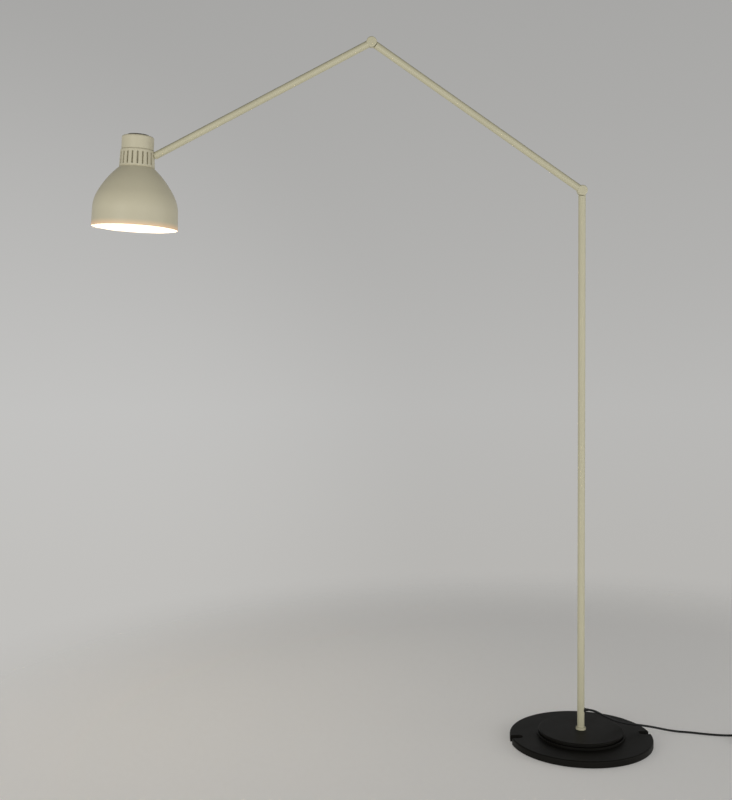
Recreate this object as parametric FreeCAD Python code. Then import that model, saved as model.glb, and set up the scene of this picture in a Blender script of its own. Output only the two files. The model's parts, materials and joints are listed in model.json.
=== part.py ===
import FreeCAD, Part
import math
import os

from FreeCAD import Placement, Rotation, Vector

# Adjustable arm floor lamp. Millimetres, +Z up, origin on the floor under the middle of the base.
# The stem stands on the origin, both arms swing in the XZ plane and the head reaches towards -X.

# Base
PAD_R, PAD_T = 126.0, 2.0
PLATE_R, PLATE_T = 160.0, 15.0
NOTCH_W, NOTCH_DEPTH, NOTCH_TURN = 20.0, 27.0, 3.6
WEIGHT_R, WEIGHT_T = 98.0, 5.0
COVER_R, COVER_T, COVER_NECK_R, COVER_NECK_T = 95.0, 5.0, 91.5, 3.0
STUD_R, STUD_PLUG_R, STUD_PLUG_TOP = 5.0, 6.5, 58.0
NUT_POCKET_R, NUT_POCKET_DEPTH = 16.0, 8.0
BASE_SCREW_R, BASE_SCREW_CIRCLE_R = 2.5, 70.0

# Tubes of the stem and of both arms
TUBE_R, TUBE_WALL = 8.0, 1.5
TUBE_BORE_R = TUBE_R - TUBE_WALL
STEM_PIVOT_Z = 1242.0
ARM_LENGTH = 566.0
LOWER_ARM_RISE = 35.2
UPPER_ARM_FALL = 26.86
FOOT_FLANGE_R, FOOT_FLANGE_T = 11.2, 5.5

# Elbow joints: two lapped cheeks on a hollow pin
CHEEK_R, CHEEK_HALF, CHEEK_ROUND, LAP_GAP = 11.5, 8.0, 2.6, 0.4
KNUCKLE_NECK_R, KNUCKLE_NECK_END, SHOULDER = 8.0, 20.0, 12.8
SPIGOT_LENGTH = 24.0
PIN_R, PIN_BORE_R, RUNNING_GAP = 4.0, 2.4, 0.05
POCKET_R, POCKET_FLOOR = 8.2, 4.5
WIRE_WAY_R, WIRE_WAY_Y = 1.6, 2.6

# Cord: round flexible lead, 5 mm across
CORD_D = 5.0
CORD_EXIT = Vector(17.0, 0.0, 74.0)
COIL_CENTRE = Vector(388.0, -13.0, 0.0)
COIL_RADII = (37.0, 32.0, 27.0, 22.0)
COIL_LIFT, COIL_LAYERS = 1.0, 2
TIE_T, TIE_W = 0.9, 8.0

# Head, in its own frame: origin in the middle of the rim, z up the neck, x towards the arm
HEAD_LEAN = 3.27
SHADE_WALL = 1.0
SHADE_TOP = 133.4
# Radius and height of: rim, end of the skirt, a point on the shoulder's arc, its end, a point on the
# crown's arc, edge of the flat top, edge of the middle hole
SHADE_OUTLINE = ((94.2, 0.0), (93.2, 34.0), (90.3, 58.0), (81.5, 79.0), (62.6, 107.4), (37.8, SHADE_TOP),
                 (21.0, SHADE_TOP))
RING_BOTTOM, RING_TOP = 133.4, 170.6
RING_FOOT_R, RING_HEAD_R, RING_BORE_R = 38.7, 36.9, 34.2
SLOT_COUNT, SLOT_W, SLOT_BOTTOM, SLOT_TOP = 21, 3.6, 138.0, 165.5
SLEEVE_R, SLEEVE_BORE_R, SLEEVE_TOP = 33.4, 31.4, 184.0
LIP_R, LIP_T = 34.4, 2.2
WINDOW_W, WINDOW_BOTTOM = 18.0, 135.4
CAP_R, CAP_TOP, CAP_WALL = 35.1, 202.0, 1.6
BUTTON_R, BUTTON_PROUD, BUTTON_T = 23.9, 3.2, 6.4
PIVOT_X, PIVOT_Z = 14.7, 147.3
HEAD_NECK_R, HEAD_NECK_END = 5.5, 27.0
TONGUE_R, TONGUE_HALF = 8.0, 4.0
TILT_PIN_R = 3.0
EAR_INNER, EAR_T, BRACKET_PLATE_T = 4.4, 3.0, 2.0

Y_AXIS = Vector(0, 1, 0)
Z_AXIS = Vector(0, 0, 1)


def cylinder(radius, height, base, direction=Z_AXIS):
    return Part.makeCylinder(radius, height, base, direction)


def washer(outer, inner, height, base, direction=Z_AXIS):
    return cylinder(outer, height, base, direction).cut(cylinder(inner, height, base, direction))


def hexagon(across_flats, height, base, direction=Z_AXIS):
    corner_r = across_flats / math.sqrt(3)
    corners = [Vector(corner_r * math.cos(math.radians(60 * i)), corner_r * math.sin(math.radians(60 * i)), 0)
               for i in range(7)]
    prism = Part.Face(Part.makePolygon(corners)).extrude(Vector(0, 0, height))
    prism.Placement = Placement(base, Rotation(Z_AXIS, direction))
    return prism


def turned(face):
    """Solid of revolution about Z from a face in the XZ plane."""
    return face.revolve(Vector(0, 0, 0), Z_AXIS, 360)


def section_face(points):
    """Flat face in the XZ plane with straight edges through (radius, height) pairs."""
    corners = [Vector(r, 0, z) for r, z in points]
    return Part.Face(Part.makePolygon(corners + corners[:1]))


def circle_edges(shape, radius, height):
    """Full-circle edges of a turned shape at one radius and height."""
    return [edge for edge in shape.Edges
            if isinstance(edge.Curve, Part.Circle)
            and abs(edge.Curve.Radius - radius) < 1e-3
            and abs(edge.Curve.Center.z - height) < 1e-3]


def save(name, shape):
    shape.exportStep(os.path.join("parts", name + ".step"))


# ---- where the joints stand ---------------------------------------------------------------------

def in_plane(angle, length):
    """Vector of a length in the XZ plane, its angle measured from +X towards +Z."""
    turn = math.radians(angle)
    return Vector(length * math.cos(turn), 0, length * math.sin(turn))


LOWER_DIRECTION = 180.0 - LOWER_ARM_RISE
UPPER_DIRECTION = 180.0 + UPPER_ARM_FALL
STEM_PIVOT = Vector(0, 0, STEM_PIVOT_Z)
ELBOW_PIVOT = STEM_PIVOT + in_plane(LOWER_DIRECTION, ARM_LENGTH)
HEAD_PIVOT = ELBOW_PIVOT + in_plane(UPPER_DIRECTION, ARM_LENGTH)


def aimed(shape, pivot, angle):
    """Puts a shape made along +X from the origin at a pivot, pointing along an angle in the XZ plane."""
    shape.Placement = Placement(pivot, Rotation(Vector(0, -1, 0), angle)).multiply(shape.Placement)
    return shape


HEAD_TURN = Rotation(Y_AXIS, HEAD_LEAN)
HEAD_ORIGIN = HEAD_PIVOT - HEAD_TURN.multVec(Vector(PIVOT_X, 0, PIVOT_Z))


def in_head(shape):
    """Moves a shape from the head's own frame to the lamp's frame."""
    shape.Placement = Placement(HEAD_ORIGIN, HEAD_TURN).multiply(shape.Placement)
    return shape


# ---- base -----------------------------------------------------------------------------------------

PLATE_TOP = PAD_T + PLATE_T
WEIGHT_TOP = PLATE_TOP + WEIGHT_T
BASE_TOP = WEIGHT_TOP + COVER_NECK_T + COVER_T


def floor_pad():
    return cylinder(PAD_R, PAD_T, Vector(0, 0, 0))


def screw_places():
    return [Vector(BASE_SCREW_CIRCLE_R * math.cos(math.radians(a)),
                   BASE_SCREW_CIRCLE_R * math.sin(math.radians(a)), 0) for a in (45, 135, 225, 315)]


def base_plate():
    plate = cylinder(PLATE_R, PLATE_T, Vector(0, 0, PAD_T))
    plate = plate.makeFillet(3.0, circle_edges(plate, PLATE_R, PLATE_TOP))
    plate = plate.makeFillet(1.2, circle_edges(plate, PLATE_R, PAD_T))
    notch_end = PLATE_R - NOTCH_DEPTH + NOTCH_W / 2
    for side in (0, 180):
        notch = Part.makeBox(NOTCH_DEPTH, NOTCH_W, PLATE_T, Vector(notch_end, -NOTCH_W / 2, PAD_T))
        notch = notch.fuse(cylinder(NOTCH_W / 2, PLATE_T, Vector(notch_end, 0, PAD_T)))
        notch.rotate(Vector(0, 0, 0), Z_AXIS, side + NOTCH_TURN)
        plate = plate.cut(notch)
    plate = plate.cut(cylinder(NUT_POCKET_R, NUT_POCKET_DEPTH, Vector(0, 0, PAD_T)))
    plate = plate.cut(cylinder(STUD_R + 0.3, PLATE_T, Vector(0, 0, PAD_T)))
    for place in screw_places():
        plate = plate.cut(cylinder(BASE_SCREW_R + 0.2, PLATE_T, place + Vector(0, 0, PAD_T)))
        plate = plate.cut(cylinder(2 * BASE_SCREW_R, 5.0, place + Vector(0, 0, PAD_T)))
    return plate.removeSplitter()


def base_weight():
    disc = cylinder(WEIGHT_R, WEIGHT_T, Vector(0, 0, PLATE_TOP))
    disc = disc.makeFillet(1.2, circle_edges(disc, WEIGHT_R, WEIGHT_TOP))
    disc = disc.cut(cylinder(STUD_R + 0.3, WEIGHT_T, Vector(0, 0, PLATE_TOP)))
    for place in screw_places():
        disc = disc.cut(cylinder(BASE_SCREW_R + 0.2, WEIGHT_T, place + Vector(0, 0, PLATE_TOP)))
    return disc


def base_cover():
    """Flat turned disc that overhangs its own neck, so a dark groove shows above the weight."""
    neck = cylinder(COVER_NECK_R, COVER_NECK_T, Vector(0, 0, WEIGHT_TOP))
    disc = cylinder(COVER_R, COVER_T, Vector(0, 0, BASE_TOP - COVER_T))
    disc = disc.makeFillet(2.2, circle_edges(disc, COVER_R, BASE_TOP))
    cover = neck.fuse(disc).removeSplitter()
    cover = cover.cut(cylinder(STUD_R + 0.3, BASE_TOP, Vector(0, 0, 0)))
    for place in screw_places():
        cover = cover.cut(cylinder(BASE_SCREW_R, COVER_NECK_T + 1.0, place + Vector(0, 0, WEIGHT_TOP)))
    return cover


def base_screws():
    """Four cap screws from below that clamp plate, weight and cover together."""
    head_z = PAD_T + 0.6
    length = WEIGHT_TOP + COVER_NECK_T - head_z
    screws = []
    for place in screw_places():
        shank = cylinder(BASE_SCREW_R, length, place + Vector(0, 0, head_z))
        head = cylinder(2 * BASE_SCREW_R - 0.4, 4.4, place + Vector(0, 0, head_z))
        socket = hexagon(4.0, 2.0, place + Vector(0, 0, head_z))
        screws.append(shank.fuse(head).cut(socket))
    return Part.makeCompound(screws)


def foot_stud():
    stud = cylinder(STUD_R, BASE_TOP - PAD_T - 0.6, Vector(0, 0, PAD_T + 0.6))
    plug = cylinder(STUD_PLUG_R, STUD_PLUG_TOP - BASE_TOP, Vector(0, 0, BASE_TOP))
    return stud.fuse(plug)


def foot_washer():
    return washer(14.0, STUD_R + 0.3, 2.0, Vector(0, 0, PAD_T + NUT_POCKET_DEPTH - 2.0))


def foot_nut():
    nut = hexagon(17.0, 4.6, Vector(0, 0, PAD_T + NUT_POCKET_DEPTH - 6.6))
    return nut.cut(cylinder(STUD_R, PLATE_TOP, Vector(0, 0, 0)))


def foot_flange():
    ring = washer(FOOT_FLANGE_R, TUBE_R, FOOT_FLANGE_T, Vector(0, 0, BASE_TOP))
    return ring.makeFillet(1.4, circle_edges(ring, FOOT_FLANGE_R, BASE_TOP + FOOT_FLANGE_T))


# ---- tubes ------------------------------------------------------------------------------------------

def tube(length):
    return washer(TUBE_R, TUBE_BORE_R, length, Vector(0, 0, 0), Vector(1, 0, 0))


GROMMET_R, GROMMET_INNER_X, GROMMET_FLARE_R, GROMMET_FLARE_T = 3.4, -3.0, 5.8, 3.2
BOOT_R, BOOT_TIP_R = 3.5, 2.9
STEM_LENGTH = STEM_PIVOT_Z - KNUCKLE_NECK_END - BASE_TOP


def stem_tube():
    stem = aimed(tube(STEM_LENGTH), Vector(0, 0, BASE_TOP), 90)
    return stem.cut(cylinder(GROMMET_R, 2 * TUBE_R, Vector(0, 0, CORD_EXIT.z), Vector(1, 0, 0)))


def cord_grommet():
    """Strain relief in the side of the stem: a stub through the wall, a flared collar on the outside and a
    slim tapered boot that the cord leaves."""
    along_x = Vector(1, 0, 0)
    stub = cylinder(GROMMET_R, TUBE_R - GROMMET_INNER_X, Vector(GROMMET_INNER_X, 0, CORD_EXIT.z), along_x)
    collar = Part.makeCone(GROMMET_FLARE_R, BOOT_R, GROMMET_FLARE_T, Vector(TUBE_R, 0, CORD_EXIT.z), along_x)
    seat = cylinder(GROMMET_FLARE_R, TUBE_R, Vector(0, 0, CORD_EXIT.z), along_x)
    seat = seat.cut(cylinder(TUBE_R, STEM_LENGTH, Vector(0, 0, BASE_TOP)))
    boot_x = TUBE_R + GROMMET_FLARE_T
    boot = Part.makeCone(BOOT_R, BOOT_TIP_R, CORD_EXIT.x - boot_x, Vector(boot_x, 0, CORD_EXIT.z), along_x)
    return stub.fuse(seat).fuse(collar).fuse(boot).removeSplitter()


def lower_arm_tube():
    return aimed(tube(ARM_LENGTH - 2 * KNUCKLE_NECK_END),
                 STEM_PIVOT + in_plane(LOWER_DIRECTION, KNUCKLE_NECK_END), LOWER_DIRECTION)


def upper_arm_tube():
    return aimed(tube(ARM_LENGTH - KNUCKLE_NECK_END - HEAD_NECK_END),
                 ELBOW_PIVOT + in_plane(UPPER_DIRECTION, KNUCKLE_NECK_END), UPPER_DIRECTION)


# ---- elbow joints -----------------------------------------------------------------------------------

def knuckle(side, pressed):
    """Half of an elbow, made about the origin with its tube along +X. side is +1 for the cheek behind
    the lap and -1 for the cheek in front. The pin is pressed blind into one cheek and turns in the other,
    whose back is bored out for the spring washer and nut."""
    thick = CHEEK_HALF - LAP_GAP
    cheek = cylinder(CHEEK_R, thick, Vector(0, LAP_GAP, 0), Y_AXIS)
    rim = [e for e in cheek.Edges if isinstance(e.Curve, Part.Circle)
           and abs(e.Curve.Center.y - CHEEK_HALF) < 1e-3]
    cheek = cheek.makeFillet(CHEEK_ROUND, rim)
    neck = cylinder(KNUCKLE_NECK_R, KNUCKLE_NECK_END, Vector(0, 0, 0), Vector(1, 0, 0))
    lap = Part.makeBox(SHOULDER + 2, 2 * CHEEK_HALF, 4 * CHEEK_HALF,
                       Vector(-2, LAP_GAP - 2 * CHEEK_HALF, -2 * CHEEK_HALF))
    spigot = cylinder(TUBE_BORE_R, SPIGOT_LENGTH, Vector(KNUCKLE_NECK_END, 0, 0), Vector(1, 0, 0))
    half = cheek.fuse(neck.cut(lap)).fuse(spigot).removeSplitter()
    wire_way = cylinder(WIRE_WAY_R, KNUCKLE_NECK_END + SPIGOT_LENGTH, Vector(0, WIRE_WAY_Y, 0),
                        Vector(1, 0, 0))
    half = half.cut(wire_way)
    if pressed:
        half = half.cut(cylinder(PIN_R, POCKET_FLOOR + 1.0 - LAP_GAP, Vector(0, LAP_GAP, 0), Y_AXIS))
    else:
        half = half.cut(cylinder(PIN_R + RUNNING_GAP, CHEEK_HALF, Vector(0, 0, 0), Y_AXIS))
        half = half.cut(cylinder(POCKET_R, CHEEK_HALF, Vector(0, POCKET_FLOOR, 0), Y_AXIS))
    if side < 0:
        half = half.mirror(Vector(0, 0, 0), Y_AXIS)
    return half


def elbow_pin(pivot, angle):
    """Hollow pin, pressed into the front cheek, with side holes that let the wires in and out."""
    pin = washer(PIN_R, PIN_BORE_R, 12.6, Vector(0, -POCKET_FLOOR - 1.0, 0), Y_AXIS)
    for y in (-WIRE_WAY_Y, WIRE_WAY_Y):
        pin = pin.cut(cylinder(WIRE_WAY_R, 2 * PIN_R, Vector(0, y, 0), Vector(1, 0, 0)))
    return aimed(pin, pivot, angle)


def friction_washer(pivot):
    disc = washer(CHEEK_R - 0.5, PIN_R + RUNNING_GAP, 2 * LAP_GAP - 0.04, Vector(0, 0.02 - LAP_GAP, 0), Y_AXIS)
    return aimed(disc, pivot, 0)


def spring_washer(pivot):
    """Conical washer in the back pocket that keeps the cheeks pressed together."""
    base = Vector(0, POCKET_FLOOR, 0)
    cone = Part.makeCone(POCKET_R - 0.5, PIN_R + 1.2, 0.9, base, Y_AXIS)
    cone = cone.cut(cylinder(PIN_R + RUNNING_GAP, 2.0, base, Y_AXIS))
    return aimed(cone, pivot, 0)


def elbow_nut(pivot):
    base = Vector(0, POCKET_FLOOR + 0.92, 0)
    nut = hexagon(11.0, 1.6, base, Y_AXIS).cut(cylinder(PIN_R, 4.0, base, Y_AXIS))
    return aimed(nut, pivot, 0)


def elbow_cap(pivot):
    """Shallow domed disc that closes the back pocket."""
    plug = cylinder(POCKET_R, 0.7, Vector(0, CHEEK_HALF - 0.7, 0), Y_AXIS)
    dome_r = 40.0
    ball = Part.makeSphere(dome_r, Vector(0, CHEEK_HALF - math.sqrt(dome_r ** 2 - POCKET_R ** 2), 0))
    dome = ball.common(cylinder(POCKET_R, 2.0, Vector(0, CHEEK_HALF, 0), Y_AXIS))
    return aimed(plug.fuse(dome).removeSplitter(), pivot, 0)


# ---- inner flex, one straight run inside each tube --------------------------------------------------

FLEX_R = 1.5


def flex(start, end):
    return cylinder(FLEX_R, (end - start).Length, start, end - start)


def stem_flex():
    top = STEM_PIVOT_Z - KNUCKLE_NECK_END - SPIGOT_LENGTH
    return flex(Vector(0, WIRE_WAY_Y, CORD_EXIT.z + GROMMET_R + 2.0), Vector(0, WIRE_WAY_Y, top))


def lower_arm_flex():
    inset = KNUCKLE_NECK_END + SPIGOT_LENGTH
    start = STEM_PIVOT + in_plane(LOWER_DIRECTION, inset) - Y_AXIS * WIRE_WAY_Y
    end = STEM_PIVOT + in_plane(LOWER_DIRECTION, ARM_LENGTH - inset) + Y_AXIS * WIRE_WAY_Y
    return flex(start, end)


def upper_arm_flex():
    start = ELBOW_PIVOT + in_plane(UPPER_DIRECTION, KNUCKLE_NECK_END + SPIGOT_LENGTH) - Y_AXIS * WIRE_WAY_Y
    end = HEAD_PIVOT - in_plane(UPPER_DIRECTION, HEAD_NECK_END + SPIGOT_LENGTH)
    return flex(start, end)


# ---- head -------------------------------------------------------------------------------------------

def head_knuckle():
    """Slim end fitting of the upper arm: flat tongue with the tilt hole, round neck and spigot."""
    tongue = cylinder(TONGUE_R, 2 * TONGUE_HALF, Vector(0, -TONGUE_HALF, 0), Y_AXIS)
    link = Part.makeBox(14.0, 2 * TONGUE_HALF, 9.0, Vector(0, -TONGUE_HALF, -4.5))
    neck = cylinder(HEAD_NECK_R, HEAD_NECK_END - 10.0, Vector(10.0, 0, 0), Vector(1, 0, 0))
    spigot = cylinder(TUBE_BORE_R, SPIGOT_LENGTH, Vector(HEAD_NECK_END, 0, 0), Vector(1, 0, 0))
    body = tongue.fuse(link).fuse(neck).fuse(spigot).removeSplitter()
    body = body.cut(cylinder(TILT_PIN_R + RUNNING_GAP, 4 * TONGUE_HALF, Vector(0, -2 * TONGUE_HALF, 0), Y_AXIS))
    body = body.cut(cylinder(WIRE_WAY_R, 60.0, Vector(9.0, 0, 0), Vector(1, 0, 0)))
    return aimed(body, HEAD_PIVOT, UPPER_DIRECTION - 180.0)


def head_bracket():
    """Round plate on top of the shade with two ears that carry the tilt pin."""
    bracket = cylinder(SLEEVE_BORE_R - 0.2, BRACKET_PLATE_T, Vector(0, 0, SHADE_TOP))
    for y in (EAR_INNER, -EAR_INNER - EAR_T):
        ear = Part.makeBox(2 * TONGUE_R, EAR_T, PIVOT_Z - SHADE_TOP, Vector(PIVOT_X - TONGUE_R, y, SHADE_TOP))
        ear = ear.fuse(cylinder(TONGUE_R, EAR_T, Vector(PIVOT_X, y, PIVOT_Z), Y_AXIS))
        bracket = bracket.fuse(ear)
    bracket = bracket.cut(cylinder(NIPPLE_R, NIPPLE_LENGTH, NIPPLE_FOOT))
    bracket = bracket.cut(cylinder(TILT_PIN_R, 40.0, Vector(PIVOT_X, -20.0, PIVOT_Z), Y_AXIS))
    for place in shade_screw_places():
        bracket = bracket.cut(cylinder(SHADE_SCREW_R, 4.0, place + Vector(0, 0, SHADE_TOP - 1.0)))
    return in_head(bracket.removeSplitter())


def tilt_pin():
    """Shoulder screw through both ears and the tongue, its head towards the front."""
    ear_face = EAR_INNER + EAR_T
    shank = cylinder(TILT_PIN_R, 2 * ear_face + 2.6, Vector(PIVOT_X, -ear_face, PIVOT_Z), Y_AXIS)
    head = cylinder(5.2, 2.6, Vector(PIVOT_X, -ear_face - 2.6, PIVOT_Z), Y_AXIS)
    socket = hexagon(4.0, 1.6, Vector(PIVOT_X, -ear_face - 2.6, PIVOT_Z), Y_AXIS)
    return in_head(shank.fuse(head).cut(socket))


def tilt_nut():
    base = Vector(PIVOT_X, EAR_INNER + EAR_T, PIVOT_Z)
    return in_head(hexagon(8.0, 2.6, base, Y_AXIS).cut(cylinder(TILT_PIN_R, 4.0, base, Y_AXIS)))


def tilt_washers():
    thick = EAR_INNER - TONGUE_HALF - 0.04
    pair = [washer(TONGUE_R - 1.0, TILT_PIN_R, thick, Vector(PIVOT_X, y, PIVOT_Z), Y_AXIS)
            for y in (TONGUE_HALF + 0.04, -EAR_INNER)]
    return in_head(Part.makeCompound(pair))


SHADE_SCREW_R = 1.5


def shade_screw_places():
    return [Vector(26.0 * math.cos(math.radians(a)), 26.0 * math.sin(math.radians(a)), 0) for a in (90, 210, 330)]


def shade():
    """Bell spun from sheet: a nearly straight skirt, a tight shoulder, then a sloping crown with a flat
    top. The wall is the outline offset inwards by the sheet's thickness."""
    foot, skirt, hip, shoulder, crown, top, lip = [Vector(r, 0, z) for r, z in SHADE_OUTLINE]
    outer = Part.Wire([Part.makeLine(foot, skirt), Part.Arc(skirt, hip, shoulder).toShape(),
                       Part.Arc(shoulder, crown, top).toShape(), Part.makeLine(top, lip)])
    wall = outer.makeOffset2D(SHADE_WALL, join=2, fill=True, openResult=True)
    bell = turned(wall)
    for place in shade_screw_places():
        bell = bell.cut(cylinder(SHADE_SCREW_R, 8.0, place + Vector(0, 0, SHADE_TOP - 4.0)))
    return in_head(bell)


def shade_screws():
    screws = []
    for place in shade_screw_places():
        shank = cylinder(SHADE_SCREW_R, 4.6, place + Vector(0, 0, SHADE_TOP - SHADE_WALL - 0.4))
        head = cylinder(2.8, 1.8, place + Vector(0, 0, SHADE_TOP + BRACKET_PLATE_T))
        cross = Part.makeBox(4.0, 0.7, 0.8, place + Vector(-2.0, -0.35, SHADE_TOP + 3.0))
        screws.append(shank.fuse(head).cut(cross))
    return in_head(Part.makeCompound(screws))


def arm_window(radius, top):
    """Cutter, from half the radius outwards, for the tall gap that the arm's neck swings in."""
    return Part.makeBox(radius, WINDOW_W, top - WINDOW_BOTTOM, Vector(radius / 2, -WINDOW_W / 2, WINDOW_BOTTOM))


def slotted_ring():
    """Tapered collar with upright vent slots all round, less the two that the arm's gap takes."""
    collar = turned(section_face([(RING_BORE_R, RING_BOTTOM), (RING_FOOT_R, RING_BOTTOM),
                                  (RING_HEAD_R, RING_TOP), (RING_BORE_R, RING_TOP)]))
    collar = collar.makeFillet(0.8, circle_edges(collar, RING_HEAD_R, RING_TOP))
    collar = collar.makeFillet(0.6, circle_edges(collar, RING_FOOT_R, RING_BOTTOM))
    step = 360.0 / SLOT_COUNT
    slots = []
    for i in range(1, SLOT_COUNT - 1):
        slot = Part.makeBox(12.0, SLOT_W, SLOT_TOP - SLOT_BOTTOM, Vector(30.0, -SLOT_W / 2, SLOT_BOTTOM))
        slot.rotate(Vector(0, 0, 0), Z_AXIS, step * (i + 0.5))
        slots.append(slot)
    collar = collar.cut(Part.makeCompound(slots))
    return in_head(collar.cut(arm_window(RING_FOOT_R, RING_TOP + 1.0)))


def neck_sleeve():
    """Inner tube that ties bracket, collar and cap together, with a lip that holds the collar down."""
    sleeve = washer(SLEEVE_R, SLEEVE_BORE_R, SLEEVE_TOP - SHADE_TOP, Vector(0, 0, SHADE_TOP))
    lip = washer(LIP_R, SLEEVE_BORE_R, LIP_T, Vector(0, 0, RING_TOP))
    sleeve = sleeve.fuse(lip).removeSplitter()
    return in_head(sleeve.cut(arm_window(LIP_R, RING_TOP)))


def cap():
    """Turned cup over the top of the sleeve, with a hole for the push button."""
    bottom = RING_TOP + LIP_T
    outside = cylinder(CAP_R, CAP_TOP - bottom, Vector(0, 0, bottom))
    outside = outside.makeFillet(4.5, circle_edges(outside, CAP_R, CAP_TOP))
    inside = cylinder(SLEEVE_R + 0.1, CAP_TOP - CAP_WALL - bottom, Vector(0, 0, bottom))
    inside = inside.makeFillet(3.0, circle_edges(inside, SLEEVE_R + 0.1, CAP_TOP - CAP_WALL))
    hole = cylinder(BUTTON_R + 0.4, 6.0, Vector(0, 0, CAP_TOP - 4.0))
    return in_head(outside.cut(inside).cut(hole))


SWITCH_R, SWITCH_BOTTOM, SWITCH_TOP = 15.0, 178.0, 192.0
SWITCH_SKIRT_R, SWITCH_SKIRT_BORE_R, SWITCH_FLANGE_Z, SWITCH_FLANGE_T = 30.4, 28.4, 186.0, 1.6
PLUNGER_R, PLUNGER_LENGTH, PLUNGER_DEPTH = 4.0, 8.8, 6.0
BUTTON_BOTTOM = CAP_TOP + BUTTON_PROUD - BUTTON_T


def switch_body():
    """Housing of the push switch: a flange and a skirt hold it up against the underside of the cap."""
    box = cylinder(SWITCH_R, SWITCH_TOP - SWITCH_BOTTOM, Vector(0, 0, SWITCH_BOTTOM))
    flange = cylinder(SWITCH_SKIRT_R, SWITCH_FLANGE_T, Vector(0, 0, SWITCH_FLANGE_Z))
    skirt_z = SWITCH_FLANGE_Z + SWITCH_FLANGE_T
    skirt = washer(SWITCH_SKIRT_R, SWITCH_SKIRT_BORE_R, CAP_TOP - CAP_WALL - skirt_z, Vector(0, 0, skirt_z))
    body = box.fuse(flange).fuse(skirt).removeSplitter()
    return in_head(body.cut(cylinder(PLUNGER_R + RUNNING_GAP, PLUNGER_DEPTH, Vector(0, 0, SWITCH_TOP - PLUNGER_DEPTH))))


def switch_button():
    """Flat button that sinks into the cap, with a plunger that reaches down into the switch."""
    button = cylinder(BUTTON_R, BUTTON_T, Vector(0, 0, BUTTON_BOTTOM))
    button = button.makeFillet(0.9, circle_edges(button, BUTTON_R, CAP_TOP + BUTTON_PROUD))
    plunger = cylinder(PLUNGER_R, PLUNGER_LENGTH, Vector(0, 0, BUTTON_BOTTOM - PLUNGER_LENGTH))
    return in_head(button.fuse(plunger))


def terminal_block():
    block = Part.makeBox(9.0, 20.0, 11.0, Vector(-27.0, -10.0, SHADE_TOP + BRACKET_PLATE_T))
    for y in (-5.0, 5.0):
        block = block.cut(cylinder(2.0, 12.0, Vector(-28.0, y, SHADE_TOP + 6.0), Vector(1, 0, 0)))
        block = block.cut(cylinder(1.8, 6.0, Vector(-22.5, y, SHADE_TOP + 9.0)))
    return in_head(block)


# Lampholder and bulb for a medium screw cap
HOLDER_R, HOLDER_TOP, HOLDER_BOTTOM, HOLDER_BORE_DEPTH = 17.5, SHADE_TOP - 3.0, 84.0, 30.0
NIPPLE_R, NIPPLE_BORE_R, NIPPLE_LENGTH = 5.0, 3.4, 9.5
NIPPLE_FOOT = Vector(-6.0, 0, HOLDER_TOP)
BULB_NECK_Z, BULB_CAP_TOP = HOLDER_BOTTOM - 1.0, HOLDER_BOTTOM + 24.0
BULB_CAP_R, BULB_SHOULDER_R, BULB_CONTACT_R, BULB_CONTACT_T = 13.0, 10.5, 4.0, 4.0
BULB_R, BULB_Z, BULB_WAIST_R, BULB_WAIST_Z, BULB_WALL = 30.0, 44.0, 23.4, 64.0, 0.9


def lampholder():
    shell = cylinder(HOLDER_R, HOLDER_TOP - HOLDER_BOTTOM, Vector(0, 0, HOLDER_BOTTOM))
    shell = shell.makeFillet(5.0, circle_edges(shell, HOLDER_R, HOLDER_TOP))
    shell = shell.makeFillet(1.0, circle_edges(shell, HOLDER_R, HOLDER_BOTTOM))
    return in_head(shell.cut(cylinder(BULB_CAP_R + 0.3, HOLDER_BORE_DEPTH, Vector(0, 0, HOLDER_BOTTOM))))


def lampholder_nipple():
    """Short pipe that hangs the lampholder from the bracket's plate and lets the wires down to it."""
    return in_head(washer(NIPPLE_R, NIPPLE_BORE_R, NIPPLE_LENGTH, NIPPLE_FOOT))


def nipple_nut():
    base = Vector(NIPPLE_FOOT.x, 0, SHADE_TOP + BRACKET_PLATE_T)
    return in_head(hexagon(13.0, 3.0, base).cut(cylinder(NIPPLE_R, 4.0, base)))


def bulb_cap():
    barrel = cylinder(BULB_CAP_R, BULB_CAP_TOP - BULB_NECK_Z, Vector(0, 0, BULB_NECK_Z))
    contact = Part.makeCone(BULB_SHOULDER_R, BULB_CONTACT_R, BULB_CONTACT_T, Vector(0, 0, BULB_CAP_TOP))
    return in_head(barrel.fuse(contact))


def blown(inset):
    """Solid inside a surface set in from the bulb's skin: a ball drawn up to the screw cap."""
    ball_r = BULB_R - inset
    slant = ball_r * math.sqrt(0.5)
    tip = Vector(0, 0, BULB_Z - ball_r)
    side = Vector(ball_r, 0, BULB_Z)
    waist = Vector(BULB_WAIST_R - inset, 0, BULB_WAIST_Z)
    neck = Vector(BULB_CAP_R - inset, 0, BULB_NECK_Z - inset)
    centre = Vector(0, 0, neck.z)
    edges = [Part.Arc(tip, Vector(slant, 0, BULB_Z - slant), side).toShape(), Part.Arc(side, waist, neck).toShape(),
             Part.makeLine(neck, centre), Part.makeLine(centre, tip)]
    return turned(Part.Face(Part.Wire(edges)))


def bulb_glass():
    return in_head(blown(0.0).cut(blown(BULB_WALL)))


# ---- mains cord ---------------------------------------------------------------------------------------

FLOOR_Z = CORD_D / 2 + 0.1
COIL_BOTTOM = COIL_LIFT + CORD_D / 2
COIL_SIDE = COIL_CENTRE.y + COIL_RADII[0]

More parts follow.
